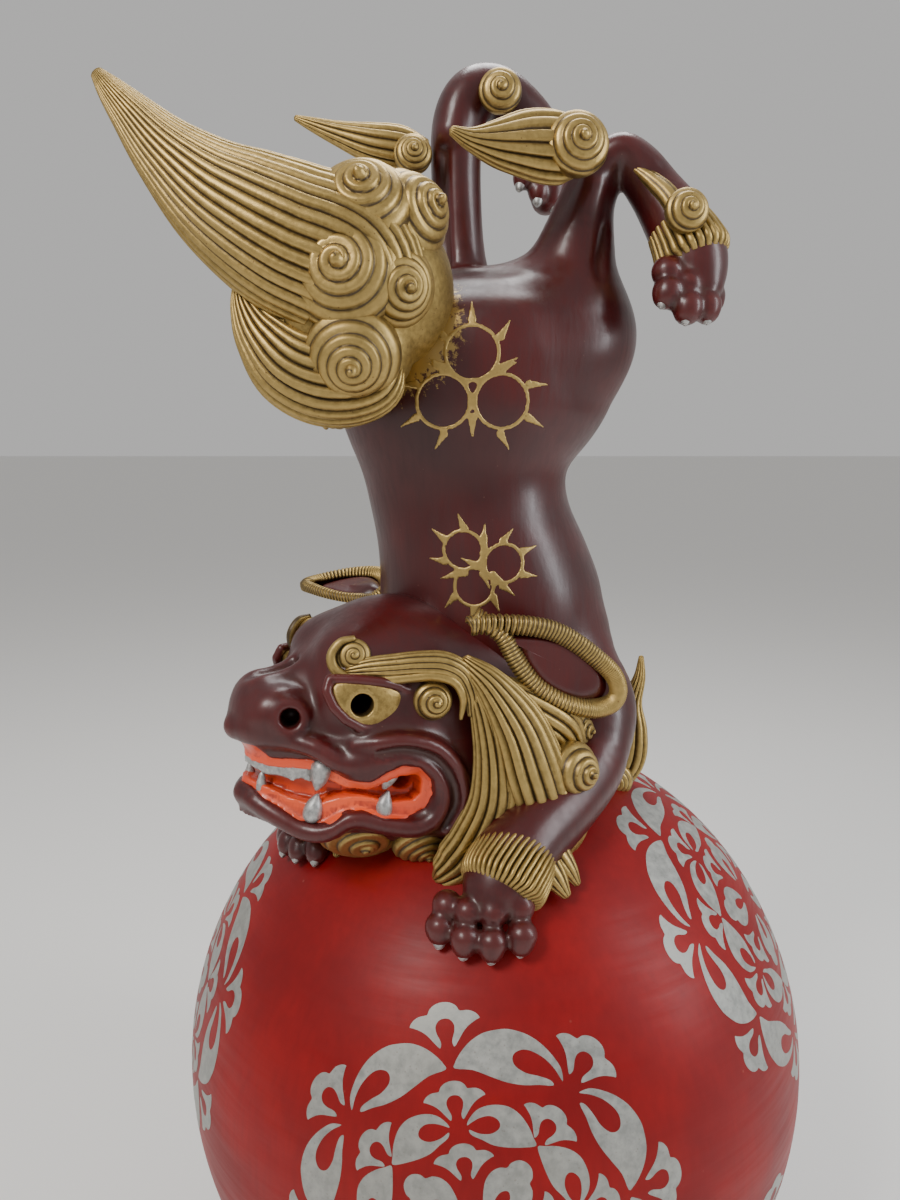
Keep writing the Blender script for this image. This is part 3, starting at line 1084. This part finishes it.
three_coils = snail(3, 1.0, 0.6)
for side, way in (("left", 1), ("right", -1)):
    band = head_lock(sided([(60, 27.5, 26.5, 1.8, 1.6), (58, 28.5, 27, 3.0, 2.6),
                            (52, 31.5, 28.6, 4.4, 3.4), (43, 36, 30.4, 4.9, 3.6), (34, 40, 32.0, 5.2, 3.6),
                            (25, 43.5, 32.2, 5.4, 3.6), (17.5, 46, 28.5, 5.0, 3.4),
                            (13, 47.5, 20.5, 4.4, 3.2), (12, 48, 12, 2.6, 2)], way),
                     (0.35, 0.85 * way, 0.3), 12, 0.14)
    roll = head_lock(sided([(57, 26, 39.4, 1.2, 1.2), (62.5, 25, 37.6, 1.7, 1.7),
                            (65.6, 24.4, 32, 2.0, 2.0), (63.6, 26, 26.4, 2.2, 2.2),
                            (56.5, 30, 23.6, 2.3, 2.3), (47, 35, 24.6, 2.3, 2.3),
                            (38, 39.5, 26.4, 2.3, 2.3), (30, 43.5, 27.8, 2.2, 2.2),
                            (22, 46.8, 26, 2.0, 2.0), (17.8, 48.2, 19.5, 1.7, 1.7),
                            (18.2, 48.5, 11, 0.8, 0.8)], way), (0.35, 0.85 * way, 0.3), 1, 0.0, 6, 16)
    spots = head_spots([((57, 26.5, 32.5), (0.35, 0.85, 0.25), 6.8, 4.4)], way)
    curls = set_out(f"{side}_brow", three_coils, spots)
    piece(f"{side}_brow_scroll", gathered(f"{side}_brow", [band, roll], curls), gilding, "gilding",
          f"{side}_brow")
    spots = head_spots([((28, 42, 17.2), (0.25, 0.95, 0.1), 7.8, 8.0)], way)
    curls = set_out(f"{side}_temple", three_coils, spots)
    piece(f"{side}_temple_snail", curls, gilding, "gilding", f"{side}_temple_curl")

# ---------------------------------------------------------------- ears
# Lop ears carved from thin pieces and glued on behind the brow: lacquered hollows inside a broad
# rolled rim, which is gilded and cut with cross strokes.
near_ear = [(17.8, 51.3), (0, 53), (-15.9, 51.7), (-28, 47), (-38.5, 40.3), (-46, 34.5), (-50, 28.5),
            (-51, 22.5), (-48.5, 17.2), (-43, 14.4), (-36, 13.8), (-24, 16.8), (-10.8, 23.9), (-1.3, 34.3),
            (5.7, 44.4)]
far_ear = [(14, -39, 54), (8, -52, 57), (10, -64, 58), (20, -76, 55), (34, -82, 50), (43, -79, 47),
           (42, -70, 46), (36, -58, 45), (28, -48, 45), (22, -40, 47)]


def ear_shape(rim_points, ways_out, cup, thick):
    """A cupped ear as a closed shell: the hollow in front, the round back behind."""
    rim = flow(rim_points, 5, closed=True)
    centre = rim.mean(0)
    count, rings = len(rim), 20
    points, faces = [], []
    for front in (1, 0):
        for i in range(rings + 1):
            s = i / rings
            sink = (1.2 * (1 - s ** 2.2) + cup * math.exp(-((s - 0.76) / 0.13) ** 2) if front
                    else (cup + thick) * (1 - s ** 2.6))
            points += list(centre + (rim - centre) * s - np.asarray(ways_out) * sink)
    layer = (rings + 1) * count
    for i in range(rings):
        for j in range(count):
            k = (j + 1) % count
            a, b, c, d = i * count + j, i * count + k, (i + 1) * count + k, (i + 1) * count + j
            faces.append((a, d, c, b))
            faces.append((layer + a, layer + b, layer + c, layer + d))
    return points, faces


def closed_up(mesh):
    """Merges doubled points and turns every face outwards."""
    made = bmesh.new()
    made.from_mesh(mesh)
    bmesh.ops.remove_doubles(made, verts=made.verts, dist=1e-5)
    bmesh.ops.dissolve_degenerate(made, edges=made.edges, dist=1e-6)
    bmesh.ops.recalc_face_normals(made, faces=made.faces)
    made.to_mesh(mesh)
    made.free()
    mesh.update()
    return mesh


ears = {"left": ([on_head((f, 49 + (10 - f) * 0.24, u)) for f, u in near_ear], (0.22, 0.94, 0.24)),
        "right": ([on_head(p) for p in far_ear], (0.5, -0.25, 0.83))}
for side, (rim_points, out) in ears.items():
    out = np.array(out) @ head_axes
    points, faces = ear_shape(rim_points, out, 4.6, 5.0)
    mesh = closed_up(mesh_of(f"{side}_ear", points, faces))
    piece(f"{side}_lop_ear", mesh, lion_red, "lion_lacquer", f"{side}_ear")
    rim = flow([(*p, 0) for p in rim_points], 2, closed=True)[:, :3]
    # The rolled rim: a broad band made of one cross stroke after another round the edge.
    strokes = []
    loop = flow(rim, 4, closed=True)
    middle = loop.mean(0)
    for p, q in zip(loop, np.roll(loop, -1, axis=0)):
        along = (q - p) / max(1e-6, np.linalg.norm(q - p))
        inward = np.cross(out, along)
        inward *= np.sign(inward @ (middle - p)) or 1
        a, b = p - inward * 0.2 - out * 2.4, p + inward * 6.6 - out * 2.2
        stations = [(*a, 1.0, 1.3), (*(p + inward * 0.4 + out * 0.3), 1.15, 1.0),
                    (*(p + inward * 3.4 + out * 0.5), 1.15, 0.9), (*b, 0.8, 0.8)]
        strokes.append(lock(stations, out, 3, 0.06, 2, 3))
    piece(f"{side}_ear_rim", gathered(f"{side}_ear_rim", strokes), gilding, "gilding")

# ---------------------------------------------------------------- mane and chin curls
# Long locks combed back from the brow and the jaw, each deeply ribbed and ending in a snail curl.
# They are carved from glued-on pieces and gilded.
mane_locks = [
    ([(13, 45, 27, 3, 3), (7.5, 50, 14, 7, 5), (3, 53, -4, 9.5, 6), (2, 54, -22, 11.5, 7),
      (6, 52, -38, 13, 8), (11, 48, -50, 13, 8), (17, 45, -56, 9, 6), (20, 43, -58, 3, 3)], (0.2, 1, -0.2),
     15),
    ([(17, 44, 34, 3, 3), (8, 51, 26, 7, 5), (-4, 56, 10, 12, 7), (-12, 59, -8, 14.5, 8),
      (-19, 59, -23, 14, 8), (-26, 57, -34, 10, 6), (-31, 55, -40, 3, 3)], (0, 1, 0), 15),
    ([(15, 46, 30, 3, 2), (3, 53, 14, 6, 4), (-4, 55, -6, 8, 5), (-5, 56, -22, 9, 6), (-4, 55, -36, 8, 6),
      (0, 52, -46, 4, 4)], (0.1, 1, -0.1), 12),
    ([(2, 52, 8, 4, 4), (-12, 56, -6, 9, 6), (-24, 60, -20, 12.5, 7), (-30, 60, -33, 12, 7),
      (-29, 58, -45, 7, 5), (-26, 57, -51, 2, 2)], (0, 1, 0), 15),
    ([(6, 46, 26, 4, 4), (-12, 50, 17, 9, 6), (-28, 52, 8, 10, 7), (-37, 50, -3, 6, 5),
      (-40, 48, -10, 2, 2)], (-0.1, 1, 0), 12),
]
mane_curls = [((-9, 59, -44), (-0.1, 0.95, -0.3), 10, 10), ((-31, 61, -9), (-0.2, 0.95, 0.1), 11.5, 11),
              ((-40, 47, 4), (-0.5, 0.85, 0.1), 9, 8)]
four_coils = snail(4, 1.0, 0.6)
for side, way in (("left", 1), ("right", -1)):
    locks = [head_lock(sided(stations, way), (f, l * way, u), ribs, 0.2)
             for stations, (f, l, u), ribs in mane_locks]
    curls = set_out(f"{side}_mane_curls", four_coils, head_spots(mane_curls, way))
    piece(f"{side}_mane_locks", gathered(f"{side}_mane", locks, curls), gilding, "gilding", f"{side}_mane")

chin = [((44, 23, -43), (0.12, 0.75, -0.65), 19, 8.5), ((64, 12, -41), (0.5, 0.45, -0.74), 13, 7),
        ((21, 32, -46), (-0.1, 0.75, -0.65), 13, 8)]
curls = set_out("chin_snails", four_coils, head_spots(chin, 1) + head_spots(chin, -1))
piece("chin_snails", curls, gilding, "gilding", "chin_curls")

# ---------------------------------------------------------------- tail
# A flame-shaped plume, a smaller side lock and a bunch of snail curls round the root, carved as
# separate pieces, pinned to the rump and gilded thickly enough to run on to the lacquer.
plume = lock([(-52, -66, 512, 24, 20), (-60, -70, 527, 30, 24), (-80, -72, 536, 29, 23),
              (-97, -73, 545, 25, 20), (-111, -73, 554, 20, 16), (-126, -73, 567, 13.5, 11),
              (-138, -72, 580, 8.5, 7.5), (-146, -71, 589, 5.2, 5), (-151, -70, 595, 2.6, 2.6)],
             (0.1, -1, 0.1), 34, 0.06, 8, 8)
piece("tail_plume_carved", gathered("tail_plume", [plume]), gilding, "gilding", "tail_plume")
side_lock = lock([(-46, -66, 494, 10, 10), (-54, -69, 487, 17, 14), (-68, -72, 486, 19, 14),
                  (-82, -74, 491, 17, 12), (-93, -73, 502, 11.5, 9), (-99, -72, 512, 6.5, 5.5),
                  (-102, -71, 521, 2.2, 2.2)], (0, -1, -0.1), 22, 0.12, 8, 10)
piece("tail_side_lock_carved", gathered("tail_side_lock", [side_lock]), gilding, "gilding",
      "tail_side_lock")

root = Clay((-100, -100, 455), (-10, -10, 580), 1.3)
for centre, radii in (((-50, -60, 522), (24, 23, 27)), ((-58, -64, 495), (22, 18, 18)),
                      ((-74, -70, 508), (14, 12, 18)), ((-36, -52, 520), (16, 18, 26)),
                      ((-48, -58, 546), (18, 20, 14))):
    root.press(pebble(centre, radii), 8)
piece("tail_stock", clay_mesh("tail_root", root), gilding, "gilding", "tail_root")

five_coils = snail(5, 1.0, 0.7, 72, 8)
tail_curls = [((-61, -83, 524), (-0.05, -1, 0.1), 21.5, 15), ((-54, -75, 549), (0, -0.85, 0.5), 19, 15),
              ((-36, -65, 547), (0.75, -0.6, 0.25), 17, 15), ((-42, -76, 519), (0.45, -0.88, -0.12), 16,
                                                              14),
              ((-58, -80, 493), (0.05, -0.92, -0.4), 18, 15), ((-62, -46, 548), (-0.4, 0.6, 0.6), 17, 13),
              ((-70, -44, 514), (-0.7, 0.7, 0), 19, 14), ((-44, -40, 500), (0.2, 0.9, -0.3), 15, 12),
              ((-66, -56, 478), (-0.5, 0.3, -0.8), 14, 12)]
piece("tail_snails", set_out("tail_snails", five_coils, tail_curls), gilding, "gilding", "tail_curls")

# ---------------------------------------------------------------- flames on the hocks and elbows
# Tongues of flame swept back from each hock and elbow, ribbed and gilded, each with a snail at its
# foot, and small tufts behind the wrists.
flames = {
    "left_hock_flame": [([(30, -46, 574, 9, 8), (22, -49, 575, 14, 10), (10, -53, 575, 14, 9),
                          (-3, -58, 574, 9.5, 7), (-13, -62, 574.5, 4.8, 4), (-21, -65, 577, 1.8, 1.8)],
                         (0.2, -0.9, 0.2), 14)],
    "right_hock_flame": [([(-33, 14, 590, 7, 6), (-44, 11, 592, 10, 7), (-57, 10, 594, 9, 6.5),
                           (-72, 10, 598, 5.5, 4.5), (-84, 10, 602, 3, 2.6), (-91, 10, 604.5, 1.3, 1.3)],
                          (0, -1, 0.2), 12)],
    "left_elbow_flame": [([(56, -16, 300, 7, 6), (62, -13, 312, 10, 7), (64, -11, 325, 9, 6.5),
                           (65, -9, 338, 5.5, 4.5), (69, -7, 350, 3, 2.6), (70, -5, 360, 1.2, 1.2)],
                          (-0.3, -1, 0.1), 12)],
    "right_elbow_flame": [([(-50, 42, 308, 7, 6), (-56, 47, 320, 10, 7), (-58, 50, 334, 7, 5),
                            (-59, 53, 346, 3.5, 3), (-60, 55, 356, 1.3, 1.3)], (-1, 0.3, 0.1), 12)],
    "left_wrist_tuft": [([(8, -84, 304, 7, 6), (14, -89, 298, 8, 6), (20, -93, 291, 6, 5),
                          (25, -96, 284, 2, 2)],
                         (0.6, -0.7, 0.3), 9),
                        ([(12, -80, 306, 5, 5), (20, -85, 300, 6.5, 5), (26, -88, 292, 4.5, 4),
                          (30, -90, 286, 1.5, 1.5)],
                         (0.7, -0.5, 0.4), 8)],
    "right_wrist_tuft": [([(-66, -34, 303, 6, 5), (-68, -44, 298, 6.5, 5), (-70, -54, 290, 4, 3.5),
                           (-71, -60, 284, 1.4, 1.4)],
                          (0.2, -0.7, 0.6), 8)],
}
flame_curls = {
    "left_hock_flame": [((28, -57, 575), (0.15, -1, 0.15), 12, 8)],
    "right_hock_flame": [((-38, 4, 588), (0.1, -1, 0.2), 8.5, 6)],
    "left_elbow_flame": [((56, -22, 304), (-0.1, -1, -0.1), 8.5, 6)],
    "right_elbow_flame": [((-56, 42, 308), (-0.9, -0.1, -0.3), 8, 6)],
}
for name, tongues in flames.items():
    locks = [lock(stations, face, ribs, 0.16, 8) for stations, face, ribs in tongues]
    curls = set_out(name, four_coils, flame_curls[name]) if name in flame_curls else None
    piece(name + "_carved", gathered(name, locks, curls), gilding, "gilding", name)

# ---------------------------------------------------------------- cuffs and ankle curls
# Fringes of short hair round each wrist and ankle, gilded, with a snail on the outside of each
# hind ankle and a gilded strap of hair behind it.
cuffs = {
    "left_fore_cuff": [([(8.5, -84, 299.5, 15, 14.5), (5, -89, 297, 17.5, 17), (1.5, -94, 293.5, 18.5, 18),
                         (-1.5, -98.5, 289.5, 18, 17.5), (-2.8, -100.5, 287.6, 14, 14)], (0, 0.5, 1), 44)],
    "right_fore_cuff": [([(-72.5, -12, 301.5, 14, 14), (-75, -19, 299, 15.5, 15.5),
                          (-78.5, -27, 295.5, 16.5, 16.5), (-80, -30, 294, 13, 13)],
                         (0, 0.5, 1), 36)],
    "left_hind_cuff": [([(72.5, -34.5, 549, 13.6, 13.4), (75.5, -37, 543, 15, 14.6),
                         (78, -39, 537, 15.8, 15.4), (79, -40, 534, 13, 13)],
                        (0, -1, 0.2), 26),
                       ([(54, -36, 571, 2, 2), (60, -39, 566, 3.6, 3), (66, -43.5, 559, 4.4, 3.4),
                         (70, -46, 551, 4.2, 3.2)],
                        (0.1, -1, 0.3), 6)],
    "right_hind_cuff": [([(19, 32, 602, 13.2, 13), (22, 33, 596, 14.4, 14), (24, 33, 590, 14.2, 14),
                          (24.6, 32.5, 587, 12, 12)],
                         (0, -1, 0.2), 24)],
}
for name, bands in cuffs.items():
    locks = [lock(stations, face, ribs, 0.10, 6, 8, tip=0.0) for stations, face, ribs in bands]
    piece(name + "_fringe", gathered(name, locks), gilding, "gilding", name)
ankles = {"left": [((72, -52.5, 551.5), (0.1, -1, 0.15), 8.5, 6)],
          "right": [((1, 10, 616), (0, -1, 0.1), 9.5, 6)]}
for side, spots in ankles.items():
    piece(f"{side}_ankle_snail", set_out(f"{side}_ankle_snail", three_coils, spots), gilding, "gilding",
          f"{side}_ankle_curl")

# ---------------------------------------------------------------- claws
# Short blunt claws of limewood, glued into the ends of the toes and silvered. All are alike, so
# one master claw is set on every toe, in the toe's own direction.
claw = lock([(0, 0, -0.35, 0.8, 0.8), (0, 0, 0.0, 1.0, 1.0), (0, 0.03, 0.7, 0.86, 0.86),
             (0, 0.02, 1.25, 0.68, 0.66), (0, -0.06, 1.6, 0.42, 0.42), (0, -0.08, 1.72, 0.15, 0.15)],
            (0, 1, 0), 1, 0.0, 4, 20)
for paw, four in toes.items():
    spots = []
    for back, knuckle, tip in four:
        run = np.array(tip, float) - knuckle
        run /= np.linalg.norm(run)
        spots.append((np.array(knuckle) + run * 3.0, run, 3.4 if "left_fore" in paw else 3.0, 3.1))
    piece(f"{paw}_claw_set", set_out(f"{paw}_claws", claw, spots, silvering), silvering, "silvering",
          f"{paw}_claws")

# ---------------------------------------------------------------- gold honeycomb
# Marks drawn on the flank and the rump in raised gold line: rings that touch, with short spikes.
# They are laid on the finished lacquer in thick size and then gilded.
marks_cell = 0.6
line_width, web = 1.7, 3           # mm: the line round a ring, and how far gold fills between rings
line_proud, line_sunk = 0.25, 1.2  # mm above and below the lacquer


def drawn(low, high, rings, radius, spikes):
    """Raised lines over the body's skin inside a box, from rings and spikes in the front view."""
    made = Clay(low, high, marks_cell)
    x, y, z = np.ix_(*made.ticks)
    grid = [np.clip((c - o) / body.cell, 0, n - 1.001) for c, o,
            n in zip((x, y, z), body.low, body.skin.shape)]
    cell = [g.astype(int) for g in grid]
    part = [g - c for g, c in zip(grid, cell)]
    skin = 0
    for i, j, k in np.ndindex(2, 2, 2):
        near_x, near_y, near_z = (p if far else 1 - p for p, far in zip(part, (i, j, k)))
        skin = skin + near_x * near_y * near_z * body.skin[cell[0] + i, cell[1] + j, cell[2] + k]
    px, pz = x[:, 0, 0][:, None], z[0, 0, :][None, :]
    disc = np.full((px.shape[0], pz.shape[1]), 50.0)
    hole = disc.copy()
    for cx, cz in rings:
        gap = np.hypot(px - cx, pz - cz)
        outer = gap - radius - line_width
        soft = np.clip(0.5 + 0.5 * (disc - outer) / web, 0, 1)
        disc = disc + (outer - disc) * soft - web * soft * (1 - soft)
        hole = np.minimum(hole, gap - radius)
    line = np.maximum(disc, -hole)
    for (ax, az), (bx, bz) in spikes:
        dx, dz = bx - ax, bz - az
        t = np.clip(((px - ax) * dx + (pz - az) * dz) / (dx * dx + dz * dz), 0, 1)
        line = np.minimum(line, np.hypot(px - ax - t * dx, pz - az - t * dz) - 1.5 * (1 - t) ** 1.2 - 0.35)
    made.skin = np.maximum(np.maximum(skin - line_proud, -(skin + line_sunk)),
                           line[:, None, :]).astype(np.float32)
    return clay_mesh("honeycomb", made)


def outer_spikes(rings, gap, reach):
    """Short spikes that leave the outer corners of a honeycomb."""
    middle = np.mean(rings, 0)
    spikes = []
    for cx, cz in rings:
        for step in range(6):
            a = math.pi / 6 + step * math.pi / 3
            corner = np.array((cx + gap / math.sqrt(3) * math.cos(a), cz + gap / math.sqrt(3)
                               * math.sin(a)))
            touching = sum(math.hypot(corner[0] - rx, corner[1] - rz) < gap * 0.7 for rx, rz in rings)
            if touching < 3:
                away = (corner - middle) / np.linalg.norm(corner - middle)
                start = corner - away * 0.6
                spikes.append((tuple(start), tuple(start + away * reach)))
    return spikes


for name, low, high, rings, radius, gap, reach in (
        ("rump_honeycomb", (-60, -72, 450), (45, -35, 525), [(-12.8, 496.4), (-24.3, 477.6), (-0.7, 477.6)],
         9.8, 23.2, 7.5),
        ("flank_honeycomb", (-50, -70, 380), (45, -30, 440), [(-16.0, 417.0), (1.0, 411.5), (-11.5, 401.5)],
         7.2, 16.8, 6.5)):
    mesh = drawn(low, high, rings, radius, outer_spikes(rings, gap, reach))
    piece(name, mesh, gilding, "gilding")

# ---------------------------------------------------------------- floor, light and camera
# A plain pale floor under a soft key from the upper left, with a cooler strip from the right and a
# wide top light behind. The camera looks down a little on the display side.
pale, tree, shader = finish("pale floor", (0.80, 0.79, 0.77), 0.8, specular=0.1)
floor_mesh = bpy.data.meshes.new("floor")
floor_mesh.from_pydata([(-20, -20, 0), (20, -20, 0), (20, 20, 0), (-20, 20, 0)], [], [(0, 1, 2, 3)])
floor_mesh.materials.append(pale)
floor = bpy.data.objects.new("floor", floor_mesh)
bpy.context.scene.collection.objects.link(floor)

world = bpy.data.worlds.new("studio")
bpy.context.scene.world = world
world.use_nodes = True
world.node_tree.nodes["Background"].inputs["Color"].default_value = (0.86, 0.85, 0.84, 1)
world.node_tree.nodes["Background"].inputs["Strength"].default_value = 0.6


def lamp(name, spot, aim, size, power, colour):
    """A soft rectangular light that faces what it aims at."""
    light = bpy.data.lights.new(name, "AREA")
    light.shape, light.size, light.size_y = "RECTANGLE", size[0], size[1]
    light.energy, light.color = power, colour
    made = bpy.data.objects.new(name, light)
    made.location = spot
    made.rotation_euler = (Vector(aim) - Vector(spot)).to_track_quat("-Z", "Y").to_euler()
    bpy.context.scene.collection.objects.link(made)


lamp("key", (-0.75, -0.95, 1.35), (0, -0.05, 0.35), (0.45, 0.45), 15, (1.0, 0.97, 0.93))
lamp("side strip", (1.0, -0.35, 0.75), (0, 0, 0.3), (0.25, 0.8), 7, (0.93, 0.97, 1.0))
lamp("top", (0.1, 0.5, 1.5), (0, 0, 0.4), (0.6, 0.6), 10, (1, 1, 1))

lens = bpy.data.cameras.new("camera")
lens.lens, lens.sensor_width, lens.clip_start = 28.2, 36, 0.01
camera = bpy.data.objects.new("camera", lens)
camera.location = (-0.0215, -0.4431, 0.4646)
camera.rotation_euler = (math.radians(80), 0, 0)
bpy.context.scene.collection.objects.link(camera)
bpy.context.scene.camera = camera
